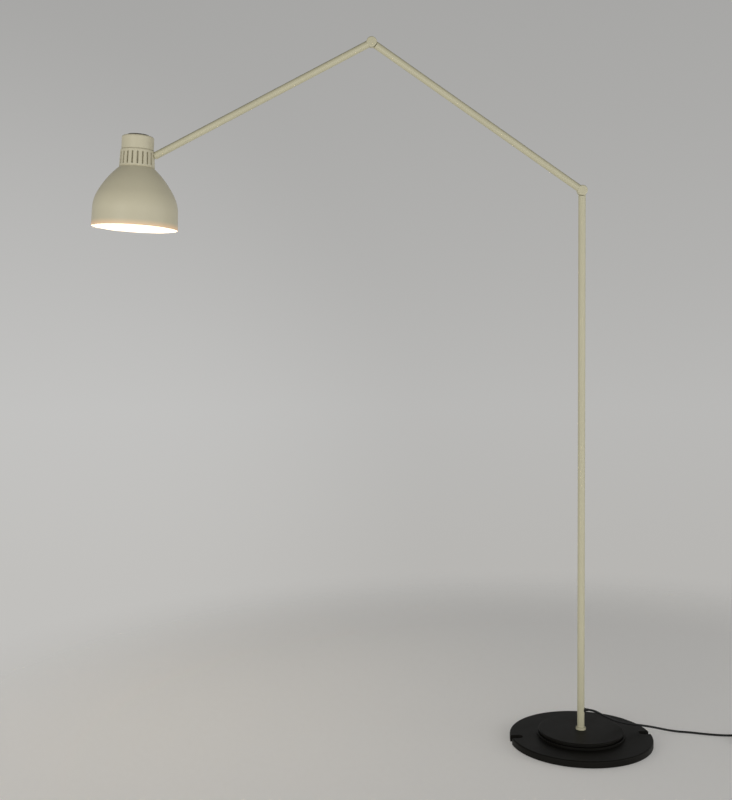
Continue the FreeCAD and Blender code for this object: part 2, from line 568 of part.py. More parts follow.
# Over the edge of the cover, off the plate, then along the floor in a shallow bend.
LEAD_ROUTE = [
    (17.0, 0.0, 74.0), (27.0, 0.0, 74.0), (38.5, 1.4, 70.0), (50.5, 4.0, 62.0), (63.5, 7.4, 53.0),
    (78.0, 11.8, 45.0), (95.0, 16.4, 38.6), (114.0, 21.0, 33.4), (135.0, 26.0, 28.8), (158.0, 31.4, 23.9),
    (182.0, 39.0, 17.0), (207.0, 48.0, 8.6), (234.0, 53.0, FLOOR_Z), (262.0, 46.5, FLOOR_Z), (288.0, 37.0, FLOOR_Z),
    (314.0, 29.0, FLOOR_Z), (340.0, 24.6, FLOOR_Z), (364.0, COIL_SIDE, 3.2), (388.0, COIL_SIDE, COIL_BOTTOM),
]

COIL_EXIT_Z = COIL_BOTTOM + (COIL_LAYERS - 1) * CORD_D
COIL_FAR_X = COIL_CENTRE.x + COIL_RADII[0]
# Off the top turn, down beside the coil and into the plug.
TAIL_ROUTE = [
    (COIL_FAR_X, -13.0, COIL_EXIT_Z), (COIL_FAR_X, -29.0, COIL_EXIT_Z), (422.0, -46.0, 7.6), (416.0, -62.0, 7.0),
    (408.0, -76.0, 7.0),
]


def cord_tube(name, route, diameter):
    """Straight runs joined by tangent arcs, as large as the shorter run beside each allows."""
    points = [Vector(*p) for p in route]
    edges, radii, start, length = [], [], points[0], 0.0
    for before, corner, after in zip(points, points[1:], points[2:]):
        arrive, leave = corner - before, after - corner
        half_turn = arrive.getAngle(leave) / 2
        cut_back = 0.45 * min(arrive.Length, leave.Length)
        radii.append(cut_back / math.tan(half_turn))
        arrive.normalize()
        leave.normalize()
        arc_start, arc_end = corner - arrive * cut_back, corner + leave * cut_back
        towards = (leave - arrive).normalize()
        depth = radii[-1] / math.cos(half_turn) - radii[-1]
        edges.append(Part.LineSegment(start, arc_start).toShape())
        edges.append(Part.Arc(arc_start, corner + towards * depth, arc_end).toShape())
        start = arc_end
    edges.append(Part.LineSegment(start, points[-1]).toShape())
    path = Part.Wire(edges)
    section = Part.Wire(Part.makeCircle(diameter / 2, points[0], points[1] - points[0]))
    solid = path.makePipeShell([section], True, True)
    expected = math.pi * diameter ** 2 / 4 * path.Length
    print(name, "length", round(path.Length, 1), "radii", [round(r) for r in radii],
          "volume against section times length", round(solid.Volume / expected, 4))
    return solid


def cord_coil():
    """Outer shape of seven and a quarter turns in two layers, as one ring."""
    ring = washer(COIL_RADII[0] + CORD_D / 2, COIL_RADII[-1] - CORD_D / 2, COIL_LAYERS * CORD_D,
                  COIL_CENTRE + Vector(0, 0, COIL_LIFT))
    rims = [e for e in ring.Edges if isinstance(e.Curve, Part.Circle)]
    return ring.makeFillet(1.5, rims)


def cord_tie():
    """Strap round the bundle, away from where the cord comes and goes."""
    outer_r, inner_r = COIL_RADII[0] + CORD_D / 2 + TIE_T, COIL_RADII[-1] - CORD_D / 2 - TIE_T
    band = washer(outer_r, inner_r, COIL_LAYERS * CORD_D + 2 * TIE_T, COIL_CENTRE + Vector(0, 0, COIL_LIFT - TIE_T))
    across = Part.makeBox(TIE_W, outer_r, 2 * COIL_LAYERS * CORD_D, COIL_CENTRE + Vector(-TIE_W / 2, -outer_r, 0))
    return band.common(across).cut(cord_coil())


PLUG_END, PLUG_BEFORE = Vector(*TAIL_ROUTE[-1]), Vector(*TAIL_ROUTE[-2])
PLUG_TURN = math.degrees(math.atan2(PLUG_END.y - PLUG_BEFORE.y, PLUG_END.x - PLUG_BEFORE.x))


def plug_frame(shape):
    """Moves a shape made along +X from the cord's end to where the plug lies."""
    shape.Placement = Placement(PLUG_END, Rotation(Z_AXIS, PLUG_TURN)).multiply(shape.Placement)
    return shape


PLUG_TAIL_LENGTH, PLUG_TAIL_R, PLUG_NECK_R = 14.0, 3.2, 4.6
PLUG_LENGTH, PLUG_HALF_T = 47.0, 6.8
# Distance along the plug and half width of its grip
PLUG_SIDE = ((13.0, 4.6), (20.0, 11.5), (38.0, 13.0), (PLUG_LENGTH, 13.0))
PLUG_PIN_R, PLUG_PIN_LENGTH, PLUG_PIN_Y = 2.0, 19.0, 9.3


def plug_body():
    """Flat two-pin plug: tapered tail, then a six-sided grip with rounded edges."""
    tail = Part.makeCone(PLUG_TAIL_R, PLUG_NECK_R, PLUG_TAIL_LENGTH, Vector(0, 0, 0), Vector(1, 0, 0))
    corners = [Vector(x, -y, -PLUG_HALF_T) for x, y in PLUG_SIDE]
    corners += [Vector(x, y, -PLUG_HALF_T) for x, y in reversed(PLUG_SIDE)]
    grip = Part.Face(Part.makePolygon(corners + corners[:1])).extrude(Vector(0, 0, 2 * PLUG_HALF_T))
    grip = grip.makeFillet(2.0, [edge for edge in grip.Edges if edge.BoundBox.ZLength < 1e-6])
    return plug_frame(tail.fuse(grip).removeSplitter())


def plug_pins():
    pins = []
    for y in (-PLUG_PIN_Y, PLUG_PIN_Y):
        pin = cylinder(PLUG_PIN_R, PLUG_PIN_LENGTH, Vector(PLUG_LENGTH, y, 0), Vector(1, 0, 0))
        tip_x = PLUG_LENGTH + PLUG_PIN_LENGTH
        pins.append(pin.makeFillet(1.2, [edge for edge in pin.Edges if edge.BoundBox.XMin > tip_x - 0.1]))
    return plug_frame(Part.makeCompound(pins))


# ---- the whole lamp -----------------------------------------------------------------------------------

def main():
    os.makedirs("parts", exist_ok=True)
    save("floor_pad", floor_pad())
    save("base_plate", base_plate())
    save("base_weight", base_weight())
    save("base_cover", base_cover())
    save("base_screws", base_screws())
    save("foot_stud", foot_stud())
    save("foot_washer", foot_washer())
    save("foot_nut", foot_nut())
    save("foot_flange", foot_flange())
    save("stem_tube", stem_tube())
    save("stem_knuckle", aimed(knuckle(+1, pressed=False), STEM_PIVOT, -90))
    save("stem_flex", stem_flex())

    save("lower_arm_foot_knuckle", aimed(knuckle(-1, pressed=True), STEM_PIVOT, LOWER_DIRECTION))
    save("lower_arm_tube", lower_arm_tube())
    save("lower_arm_elbow_knuckle", aimed(knuckle(+1, pressed=False), ELBOW_PIVOT, LOWER_DIRECTION + 180))
    save("lower_arm_flex", lower_arm_flex())
    save("upper_arm_elbow_knuckle", aimed(knuckle(-1, pressed=True), ELBOW_PIVOT, UPPER_DIRECTION))
    save("upper_arm_tube", upper_arm_tube())
    save("upper_arm_flex", upper_arm_flex())
    save("upper_arm_head_knuckle", head_knuckle())
    for name, pivot, angle in (("stem_joint", STEM_PIVOT, LOWER_DIRECTION),
                               ("elbow_joint", ELBOW_PIVOT, UPPER_DIRECTION)):
        save(name + "_pin", elbow_pin(pivot, angle))
        save(name + "_friction_washer", friction_washer(pivot))
        save(name + "_spring_washer", spring_washer(pivot))
        save(name + "_nut", elbow_nut(pivot))
        save(name + "_cap", elbow_cap(pivot))

    save("head_bracket", head_bracket())
    save("tilt_pin", tilt_pin())
    save("tilt_nut", tilt_nut())
    save("tilt_washers", tilt_washers())
    save("shade", shade())
    save("shade_screws", shade_screws())
    save("slotted_ring", slotted_ring())
    save("neck_sleeve", neck_sleeve())
    save("cap", cap())
    save("switch_body", switch_body())
    save("switch_button", switch_button())
    save("terminal_block", terminal_block())
    save("lampholder", lampholder())
    save("lampholder_nipple", lampholder_nipple())
    save("nipple_nut", nipple_nut())
    save("bulb_cap", bulb_cap())
    save("bulb_glass", bulb_glass())

    save("cord_grommet", cord_grommet())
    save("cord_lead", cord_tube("cord_lead", LEAD_ROUTE, CORD_D))
    save("cord_coil", cord_coil())
    save("cord_tail", cord_tube("cord_tail", TAIL_ROUTE, CORD_D))
    save("cord_tie", cord_tie())
    save("plug_body", plug_body())
    save("plug_pins", plug_pins())


main()
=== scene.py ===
import json
import math

import bmesh
import bpy
from mathutils import Matrix, Vector


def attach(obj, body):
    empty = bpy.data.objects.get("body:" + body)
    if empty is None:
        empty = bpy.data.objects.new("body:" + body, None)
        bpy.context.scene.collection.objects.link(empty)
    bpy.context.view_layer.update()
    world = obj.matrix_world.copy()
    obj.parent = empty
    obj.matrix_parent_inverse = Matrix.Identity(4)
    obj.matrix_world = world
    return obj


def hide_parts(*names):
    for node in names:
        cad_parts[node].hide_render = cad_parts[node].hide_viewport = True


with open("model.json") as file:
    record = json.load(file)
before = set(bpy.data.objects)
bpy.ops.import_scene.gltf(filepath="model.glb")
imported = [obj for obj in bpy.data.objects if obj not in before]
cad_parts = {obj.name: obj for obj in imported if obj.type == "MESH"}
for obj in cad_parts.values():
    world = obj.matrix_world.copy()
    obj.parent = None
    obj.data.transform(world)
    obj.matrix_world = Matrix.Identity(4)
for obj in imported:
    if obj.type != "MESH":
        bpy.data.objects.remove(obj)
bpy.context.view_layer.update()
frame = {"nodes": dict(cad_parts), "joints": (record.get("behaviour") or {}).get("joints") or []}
nodes = frame["nodes"]
joints = {joint["name"]: joint for joint in frame["joints"]}


# The camera stands about 2.4 m in front of the lamp at chest height, between the head and the stem,
# and looks very slightly down, the way a tall lamp is shown in a catalogue.

camera_data = bpy.data.cameras.new("camera")
camera_data.sensor_fit = "HORIZONTAL"
camera_data.sensor_width = 36.0
camera_data.lens = 53.15
camera_data.clip_end = 60.0
camera = bpy.data.objects.new("camera", camera_data)
bpy.context.scene.collection.objects.link(camera)
camera_place = (-0.4815, -2.4105, 0.9111)
look_down, camera_roll = math.radians(3.066), math.radians(-0.48)
camera.matrix_world = (Matrix.Translation(camera_place)
                       @ Matrix.Rotation(math.radians(90) - look_down, 4, "X")
                       @ Matrix.Rotation(camera_roll, 4, "Z"))
bpy.context.scene.camera = camera


# Mains cord: round black PVC flex, 5 mm across, about 1.8 m long. It leaves the boot in the stem's side,
# hangs over the edge of the base and runs along the floor. The rest is wound in two layers, seven and a
# quarter turns in all, and tied once, with the plug beside the coil.

def linked(name, data):
    """A new object for a mesh, curve or light, linked into the scene."""
    piece = bpy.data.objects.new(name, data)
    bpy.context.scene.collection.objects.link(piece)
    return piece


def shader(name):
    """A new material with its Principled shader and its node tree."""
    material = bpy.data.materials.new(name)
    material.use_nodes = True
    tree = material.node_tree
    return material, tree, tree.nodes["Principled BSDF"]


def finish_node(name, material):
    """Gives a CAD node's object one material."""
    piece = nodes[name]
    piece.data.materials.clear()
    piece.data.materials.append(material)
    return piece


cord_diameter = 0.005
floor_height = 0.0026
lead_route = [
    (0.017, 0.0, 0.074), (0.026, 0.0, 0.0727), (0.0375, 0.0014, 0.0678), (0.0495, 0.004, 0.0605),
    (0.0635, 0.0074, 0.053), (0.078, 0.0118, 0.045), (0.095, 0.0164, 0.0386), (0.114, 0.021, 0.0334),
    (0.135, 0.026, 0.0288), (0.158, 0.0314, 0.0239), (0.182, 0.039, 0.017), (0.207, 0.048, 0.0086),
    (0.234, 0.053, floor_height), (0.262, 0.0465, floor_height), (0.288, 0.037, floor_height),
    (0.314, 0.029, floor_height), (0.340, 0.0246, floor_height), (0.364, 0.024, 0.0032),
]
tail_route = [
    (0.425, -0.029, 0.0085), (0.422, -0.046, 0.0076), (0.416, -0.062, 0.007), (0.408, -0.076, 0.007),
]

coil_x, coil_y = 0.388, -0.013
coil_low, coil_step = 0.0035, 0.005
points_per_turn = 16
# Turns from the start, radius and layer at each change of the winding: inwards on the floor, then up,
# then outwards on top.
winding = [
    (0.0, 0.037, 0), (0.7, 0.037, 0), (0.95, 0.032, 0), (1.7, 0.032, 0), (1.95, 0.027, 0),
    (2.7, 0.027, 0), (2.95, 0.022, 0), (3.5, 0.022, 0), (3.78, 0.022, 1), (4.25, 0.022, 1),
    (4.5, 0.027, 1), (5.25, 0.027, 1), (5.5, 0.032, 1), (6.25, 0.032, 1), (6.5, 0.037, 1),
    (7.25, 0.037, 1),
]


def wound(turn):
    """Point of the coil's centreline after some turns, clockwise from the side where the cord arrives."""
    for (start, radius_a, layer_a), (end, radius_b, layer_b) in zip(winding, winding[1:]):
        if turn <= end:
            share = (turn - start) / (end - start)
            ease = share * share * (3 - 2 * share)
            radius = radius_a + (radius_b - radius_a) * ease
            height = coil_low + coil_step * (layer_a + (layer_b - layer_a) * ease)
            angle = math.pi / 2 - 2 * math.pi * turn
            return (coil_x + radius * math.cos(angle), coil_y + radius * math.sin(angle), height)


turns = winding[-1][0]
coil_points = [wound(i / points_per_turn) for i in range(round(turns * points_per_turn) + 1)]
cord_points = lead_route + coil_points + tail_route

cord_curve = bpy.data.curves.new("mains_cord", "CURVE")
cord_curve.dimensions = "3D"
cord_curve.bevel_depth = cord_diameter / 2
cord_curve.bevel_resolution = 5
cord_curve.use_fill_caps = True
spline = cord_curve.splines.new("NURBS")
spline.points.add(len(cord_points) - 1)
for point, place in zip(spline.points, cord_points):
    point.co = (*place, 1.0)
spline.order_u = 3
spline.use_endpoint_u = True
spline.resolution_u = 6
mains_cord = linked("mains_cord", cord_curve)


def noise(tree, vector, detail=2.0, roughness=0.5):
    """Noise node; its scale is set or linked by the caller."""
    node = tree.nodes.new("ShaderNodeTexNoise")
    node.inputs["Detail"].default_value = detail
    node.inputs["Roughness"].default_value = roughness
    tree.links.new(vector, node.inputs["Vector"])
    return node


def group_of(name, inputs, outputs):
    """A shader node group with named sockets, and its input and output nodes."""
    group = bpy.data.node_groups.new(name, "ShaderNodeTree")
    for direction, sockets in (("INPUT", inputs), ("OUTPUT", outputs)):
        for socket, kind in sockets.items():
            group.interface.new_socket(socket, in_out=direction, socket_type="NodeSocket" + kind)
    return group, group.nodes.new("NodeGroupInput"), group.nodes.new("NodeGroupOutput")


# Grain: a slow cloud for the tone and a fine grain for the surface. Every coating and moulding uses it.
grain, grain_in, grain_out = group_of(
    "surface_grain", {"Cloud Scale": "Float", "Grain Scale": "Float"}, {"Cloud": "Float", "Grain": "Float"})
grain_place = grain.nodes.new("ShaderNodeTexCoord").outputs["Object"]
for scale_name, result_name, detail in (("Cloud Scale", "Cloud", 4.0), ("Grain Scale", "Grain", 2.0)):
    layer = noise(grain, grain_place, detail)
    grain.links.new(grain_in.outputs[scale_name], layer.inputs["Scale"])
    grain.links.new(layer.outputs["Fac"], grain_out.inputs[result_name])

# Dust and painted shade: a grey-olive film in patches where a surface faces up. A trace of it is dust;
# laid on thickly it is painted shade that darkens tops and upper rims, as if less light came from above.
dust_and_shade, dust_and_shade_in, dust_and_shade_out = group_of("dust_and_painted_shade", {"Clean": "Color", "Amount": "Float"}, {"Colour": "Color"})
facing = dust_and_shade.nodes.new("ShaderNodeSeparateXYZ")
dust_and_shade.links.new(dust_and_shade.nodes.new("ShaderNodeNewGeometry").outputs["Normal"], facing.inputs["Vector"])
upward = dust_and_shade.nodes.new("ShaderNodeMapRange")
upward.inputs["From Min"].default_value = 0.3
dust_and_shade.links.new(facing.outputs["Z"], upward.inputs["Value"])
dust_and_shade_place = dust_and_shade.nodes.new("ShaderNodeTexCoord").outputs["Object"]
patches = noise(dust_and_shade, dust_and_shade_place, detail=6.0, roughness=0.62)
patches.inputs["Scale"].default_value = 38.0
dust_and_shade_share = upward.outputs["Result"]
for factor in (patches.outputs["Fac"], dust_and_shade_in.outputs["Amount"]):
    times = dust_and_shade.nodes.new("ShaderNodeMath")
    times.operation = "MULTIPLY"
    dust_and_shade.links.new(dust_and_shade_share, times.inputs[0])
    dust_and_shade.links.new(factor, times.inputs[1])
    dust_and_shade_share = times.outputs["Value"]
dust_and_shade_film = dust_and_shade.nodes.new("ShaderNodeMix")
dust_and_shade_film.data_type = "RGBA"
dust_and_shade_film.inputs["B"].default_value = (0.14, 0.137, 0.095, 1)
dust_and_shade.links.new(dust_and_shade_share, dust_and_shade_film.inputs["Factor"])
dust_and_shade.links.new(dust_and_shade_in.outputs["Clean"], dust_and_shade_film.inputs["A"])
dust_and_shade.links.new(dust_and_shade_film.outputs["Result"], dust_and_shade_out.inputs["Colour"])


def coating(name, colour, roughness, cloud_scale, grain_scale, grain_depth,
            spread=0.08, dust_and_shade_amount=0.0, gloss=0.5):
    """Material with a slightly clouded colour and a fine grain: powder coat, moulded plastic or rubber."""
    material, tree, surface = shader(name)
    surface.inputs["Specular IOR Level"].default_value = gloss
    skin = tree.nodes.new("ShaderNodeGroup")
    skin.node_tree = grain
    skin.inputs["Cloud Scale"].default_value = cloud_scale
    skin.inputs["Grain Scale"].default_value = grain_scale
    tone = tree.nodes.new("ShaderNodeValToRGB")
    tone.color_ramp.elements[0].position = 0.3
    tone.color_ramp.elements[0].color = (*[c * (1 - spread) for c in colour], 1)
    tone.color_ramp.elements[1].position = 0.7
    tone.color_ramp.elements[1].color = (*[min(1.0, c * (1 + spread)) for c in colour], 1)
    tree.links.new(skin.outputs["Cloud"], tone.inputs["Fac"])
    dust_and_shade_film = tree.nodes.new("ShaderNodeGroup")
    dust_and_shade_film.node_tree = dust_and_shade
    dust_and_shade_film.inputs["Amount"].default_value = dust_and_shade_amount
    tree.links.new(tone.outputs["Color"], dust_and_shade_film.inputs["Clean"])
    tree.links.new(dust_and_shade_film.outputs["Colour"], surface.inputs["Base Color"])
    rough = tree.nodes.new("ShaderNodeMapRange")
    rough.inputs["To Min"].default_value = roughness - 0.05
    rough.inputs["To Max"].default_value = roughness + 0.05
    tree.links.new(skin.outputs["Cloud"], rough.inputs["Value"])
    tree.links.new(rough.outputs["Result"], surface.inputs["Roughness"])
    relief = tree.nodes.new("ShaderNodeBump")
    relief.inputs["Strength"].default_value = 0.6
    relief.inputs["Distance"].default_value = grain_depth
    tree.links.new(skin.outputs["Grain"], relief.inputs["Height"])
    tree.links.new(relief.outputs["Normal"], surface.inputs["Normal"])
    return material


cord_pvc = coating("cord_pvc", (0.009, 0.009, 0.009), 0.45, 50.0, 1500.0, 0.00002,
                   dust_and_shade_amount=0.015, gloss=0.3)
mains_cord.data.materials.append(cord_pvc)
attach(mains_cord, "base")
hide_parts("cord_lead", "cord_coil", "cord_tail")
boot_rubber = coating("boot_rubber", (0.011, 0.010, 0.009), 0.6, 90.0, 2600.0, 0.00003, gloss=0.3)
finish_node("cord_grommet", boot_rubber)
tie = finish_node("cord_tie", coating("tie_strap", (0.03, 0.03, 0.032), 0.7, 90.0, 900.0, 0.0002))
plug_plastic = coating("plug_plastic", (0.020, 0.020, 0.020), 0.5, 80.0, 2200.0, 0.00008, dust_and_shade_amount=0.05)
plug = finish_node("plug_body", plug_plastic)


def metal(name, colour, roughness, brush_scale):
    """Bare or plated metal with a fine grain, drawn out along an axis where its scales differ."""
    material, tree, surface = shader(name)
    stretch = tree.nodes.new("ShaderNodeMapping")
    stretch.inputs["Scale"].default_value = brush_scale
    tree.links.new(tree.nodes.new("ShaderNodeTexCoord").outputs["Object"], stretch.inputs["Vector"])
    lines = noise(tree, stretch.outputs["Vector"], detail=4.0, roughness=0.6)
    lines.inputs["Scale"].default_value = 1.0
    tone = tree.nodes.new("ShaderNodeValToRGB")
    tone.color_ramp.elements[0].position = 0.25
    tone.color_ramp.elements[0].color = (*[c * 0.8 for c in colour], 1)
    tone.color_ramp.elements[1].position = 0.75
    tone.color_ramp.elements[1].color = (*colour, 1)
    tree.links.new(lines.outputs["Fac"], tone.inputs["Fac"])
    tree.links.new(tone.outputs["Color"], surface.inputs["Base Color"])
    rough = tree.nodes.new("ShaderNodeMapRange")
    rough.inputs["To Min"].default_value = roughness - 0.08
    rough.inputs["To Max"].default_value = roughness + 0.08
    tree.links.new(lines.outputs["Fac"], rough.inputs["Value"])
    tree.links.new(rough.outputs["Result"], surface.inputs["Roughness"])
    surface.inputs["Metallic"].default_value = 1.0
    return material


pins = finish_node("plug_pins", metal("nickel_plate", (0.66, 0.63, 0.57), 0.22, (900.0, 900.0, 120.0)))


# Base: a wide plate with two finger notches, a weight disc on it and a turned cover, all in textured satin
# black, on a felt pad. Four cap screws and the stem's stud hold it together from below.

black_coat = coating("black_powder_coat", (0.0065, 0.0060, 0.0045), 0.5, 26.0, 1100.0, 0.00012,
                     spread=0.15, dust_and_shade_amount=0.004, gloss=0.12)
for name in ("base_plate", "base_weight", "base_cover"):
    finish_node(name, black_coat)
finish_node("floor_pad", coating("black_felt", (0.02, 0.02, 0.02), 0.95, 120.0, 700.0, 0.0006, spread=0.3))
zinc = metal("zinc_plate", (0.55, 0.55, 0.53), 0.34, (500.0, 500.0, 500.0))
for name in ("base_screws", "foot_stud", "foot_washer", "foot_nut"):
    finish_node(name, zinc)


# Stem, arms and their end fittings: 16 mm steel tube with pressed-in turned knuckles, powder coated
# cream in one batch. The flex runs inside the tubes and through the hollow pins.

# Painted shade: this cream is darker and a little yellower than the head's, for tubes that catch less light,
# and the up-facing film is laid on thickly to darken their tops and the joints' upper rims.
tube_cream_painted_shade = coating("cream_powder_coat_painted_shade", (0.60, 0.568, 0.40), 0.42, 9.0, 900.0, 0.00002,
                     spread=0.03, dust_and_shade_amount=0.95)
for name in ("foot_flange", "stem_tube", "stem_knuckle", "lower_arm_foot_knuckle", "lower_arm_tube",
             "lower_arm_elbow_knuckle", "upper_arm_elbow_knuckle", "upper_arm_tube", "upper_arm_head_knuckle",
             "stem_joint_cap", "elbow_joint_cap"):
    finish_node(name, tube_cream_painted_shade)
inner_flex = coating("inner_flex", (0.62, 0.60, 0.54), 0.6, 80.0, 1500.0, 0.00003)
for name in ("stem_flex", "lower_arm_flex", "upper_arm_flex"):
    finish_node(name, inner_flex)

# Inside each elbow: a hollow pin, a nylon friction washer between the cheeks, a conical spring washer and
# a thin nut under the cap.

nylon = coating("white_nylon", (0.72, 0.70, 0.64), 0.5, 100.0, 1800.0, 0.00003)
for joint in ("stem_joint", "elbow_joint"):
    for part in ("_pin", "_spring_washer", "_nut"):
        finish_node(joint + part, zinc)
    finish_node(joint + "_friction_washer", nylon)


# Head: its frame follows the push button's stroke and the tilt hinge. The cap is a turned cup in the head's
# cream coat, slid over the top of the inner sleeve, with a hole for the push button.

up = -Vector(joints["switch_press"]["axis"]).normalized()
towards_arm = Vector((up.z, 0, -up.x))
hinge_off_axis, hinge_above_rim = 0.0147, 0.1473
tilt_from_rim = towards_arm * hinge_off_axis + up * hinge_above_rim
rim_centre = Vector(joints["head_tilt"]["pos_m"]) - tilt_from_rim
head_place = Matrix((
    (towards_arm.x, 0, up.x, rim_centre.x),
    (towards_arm.y, 1, up.y, rim_centre.y),
    (towards_arm.z, 0, up.z, rim_centre.z),
    (0, 0, 0, 1)))

head_cream = (0.655, 0.61, 0.447)
head_coat = coating("head_powder_coat", head_cream, 0.42, 9.0, 900.0, 0.00002,
                    spread=0.03, dust_and_shade_amount=0.05)
finish_node("cap", head_coat)


# Shade: 1 mm steel spun to a bell with a straight skirt and hemmed rim, cream outside and white enamel
# inside. It hangs from the bracket plate by its flat top. Just above the rim the outside has a painted warm
# glow, standing in for the bulb's light at the hem.

rim_r, skirt_r, skirt_top = 0.0942, 0.0932, 0.034
shoulder_mid, shoulder_end = (0.0903, 0.058), (0.0815, 0.079)
crown_mid, crown_end = (0.0626, 0.1074), (0.0378, 0.1334)
hole_r, shade_wall, shade_segments = 0.021, 0.001, 192
crown_edge, inner_crown_edge = 0.0004, 0.0012
skirt_steps, shoulder_steps, crown_steps, hem_steps, hem_step_degrees = 6, 14, 16, 6, 30
painted_glow_height = 0.014


def arc_through(start, middle, end, steps):
    """Points of the circle arc through three (radius, height) points, without its first point."""
    (ax, ay), (bx, by), (cx, cy) = start, middle, end
    scale = 2 * (ax * (by - cy) + bx * (cy - ay) + cx * (ay - by))
    a2, b2, c2 = ax * ax + ay * ay, bx * bx + by * by, cx * cx + cy * cy
    centre = Vector(((a2 * (by - cy) + b2 * (cy - ay) + c2 * (ay - by)) / scale,
                     (a2 * (cx - bx) + b2 * (ax - cx) + c2 * (bx - ax)) / scale))
    arm, last = Vector(start) - centre, Vector(end) - centre
    turn = -arm.angle_signed(last)
    points = []
    for step in range(1, steps + 1):
        angle = math.atan2(arm.y, arm.x) + turn * step / steps
        points.append((centre.x + arm.length * math.cos(angle), centre.y + arm.length * math.sin(angle)))
    return points


def offset_inwards(points, wall):
    """The same line moved towards the axis by the wall, for the inner face."""
    moved = []
    for index, point in enumerate(points):
        before, after = points[max(index - 1, 0)], points[min(index + 1, len(points) - 1)]
        along = (Vector(after) - Vector(before)).normalized()
        moved.append((point[0] - along.y * wall, point[1] + along.x * wall))
    return moved


outer_line = [(rim_r - (rim_r - skirt_r) * step / skirt_steps, skirt_top * step / skirt_steps)
              for step in range(skirt_steps + 1)]
outer_line += arc_through(outer_line[-1], shoulder_mid, shoulder_end, shoulder_steps)
outer_line += arc_through(shoulder_end, crown_mid, crown_end, crown_steps)
outer_line += [(crown_end[0] - crown_edge, crown_end[1]), (hole_r, crown_end[1])]
inner_line = offset_inwards(outer_line[:-3], shade_wall)
inner_line += [(crown_end[0] - inner_crown_edge, crown_end[1] - shade_wall),
               (hole_r, crown_end[1] - shade_wall)]
hem_angles = [math.radians(hem_step_degrees * step) for step in range(hem_steps + 1)]
hem = [(rim_r - shade_wall / 2 + shade_wall / 2 * math.cos(angle),
        -shade_wall / 2 * math.sin(angle) + shade_wall / 2) for angle in hem_angles]
shade_profile = hem + inner_line[1:] + outer_line[:0:-1]
# The enamel runs from the inner side of the hem to the hole in the crown.
enamel_first_row = 4
shade_inner_rows = (enamel_first_row, len(hem) + len(inner_line) - 1)


def node_in(tree, kind, **values):
    """Geometry node with its sockets set by name, or linked where the value is a socket."""
    node = tree.nodes.new(kind)
    for socket, value in values.items():
        target = node.inputs[socket.replace("_", " ")]
        if isinstance(value, bpy.types.NodeSocket):
            tree.links.new(value, target)
        else:
            target.default_value = value
    return node


def maths(tree, operation, first, second=None):
    """Result socket of a Math node."""
    node = tree.nodes.new("ShaderNodeMath")
    node.operation = operation
    for socket, value in zip(node.inputs, (first, second)):
        if isinstance(value, bpy.types.NodeSocket):
            tree.links.new(value, socket)
        elif value is not None:
            socket.default_value = value
    return node.outputs["Value"]


def compare(tree, operation, first, second):
    """Result socket of a Compare node on two numbers."""
    node = tree.nodes.new("FunctionNodeCompare")
    node.data_type = "FLOAT"
    node.operation = operation
    tree.links.new(first, node.inputs[0])
    tree.links.new(second, node.inputs[1])
    return node.outputs["Result"]


# Spinning: the rows of a grid take the places of the profile's points, each column turned about the axis.
seam_merge, spun_merge = 0.00001, 0.000002
spinning = bpy.data.node_groups.new("spun_profile", "GeometryNodeTree")
for socket, kind in (("Profile", "Geometry"), ("Rows", "Int"), ("Segments", "Int"), ("Outside", "Material"),
                     ("Inside", "Material"), ("Inside From", "Float"), ("Inside To", "Float")):
    spinning.interface.new_socket(socket, in_out="INPUT", socket_type="NodeSocket" + kind)
spinning.interface.new_socket("Mesh", in_out="OUTPUT", socket_type="NodeSocketGeometry")
spin_in = spinning.nodes.new("NodeGroupInput").outputs
columns = maths(spinning, "ADD", spin_in["Segments"], 1.0)
sheet = node_in(spinning, "GeometryNodeMeshGrid", Vertices_X=columns, Vertices_Y=spin_in["Rows"])
place_number = spinning.nodes.new("GeometryNodeInputIndex").outputs["Index"]
row = maths(spinning, "MODULO", place_number, spin_in["Rows"])
column = maths(spinning, "FLOOR", maths(spinning, "DIVIDE", place_number, spin_in["Rows"]))
turn = maths(spinning, "MULTIPLY", maths(spinning, "DIVIDE", column, spin_in["Segments"]), 2 * math.pi)
picked = spinning.nodes.new("GeometryNodeSampleIndex")
picked.data_type = "FLOAT_VECTOR"
spinning.links.new(spin_in["Profile"], picked.inputs["Geometry"])
profile_place = spinning.nodes.new("GeometryNodeInputPosition").outputs["Position"]
spinning.links.new(profile_place, picked.inputs["Value"])
spinning.links.new(row, picked.inputs["Index"])
turned = node_in(spinning, "ShaderNodeVectorRotate", Vector=picked.outputs["Value"], Angle=turn)
turned.rotation_type = "Z_AXIS"
numbered = spinning.nodes.new("GeometryNodeStoreNamedAttribute")
numbered.data_type = "FLOAT"
numbered.inputs["Name"].default_value = "row"
spinning.links.new(sheet.outputs["Mesh"], numbered.inputs["Geometry"])
spinning.links.new(row, numbered.inputs["Value"])
shaped = node_in(spinning, "GeometryNodeSetPosition", Geometry=numbered.outputs["Geometry"],
                 Position=turned.outputs["Vector"])
joined = node_in(spinning, "GeometryNodeMergeByDistance", Geometry=shaped.outputs["Geometry"],
                 Distance=seam_merge)
row_of_face = spinning.nodes.new("GeometryNodeInputNamedAttribute")
row_of_face.data_type = "FLOAT"
row_of_face.inputs["Name"].default_value = "row"
row_value = row_of_face.outputs["Attribute"]
is_inside = maths(spinning, "MULTIPLY", compare(spinning, "GREATER_THAN", row_value, spin_in["Inside From"]),
                  compare(spinning, "LESS_THAN", row_value, spin_in["Inside To"]))
real = node_in(spinning, "GeometryNodeRealizeInstances", Geometry=joined.outputs["Geometry"])
coated = node_in(spinning, "GeometryNodeSetMaterial", Geometry=real.outputs["Geometry"],
                 Material=spin_in["Outside"])
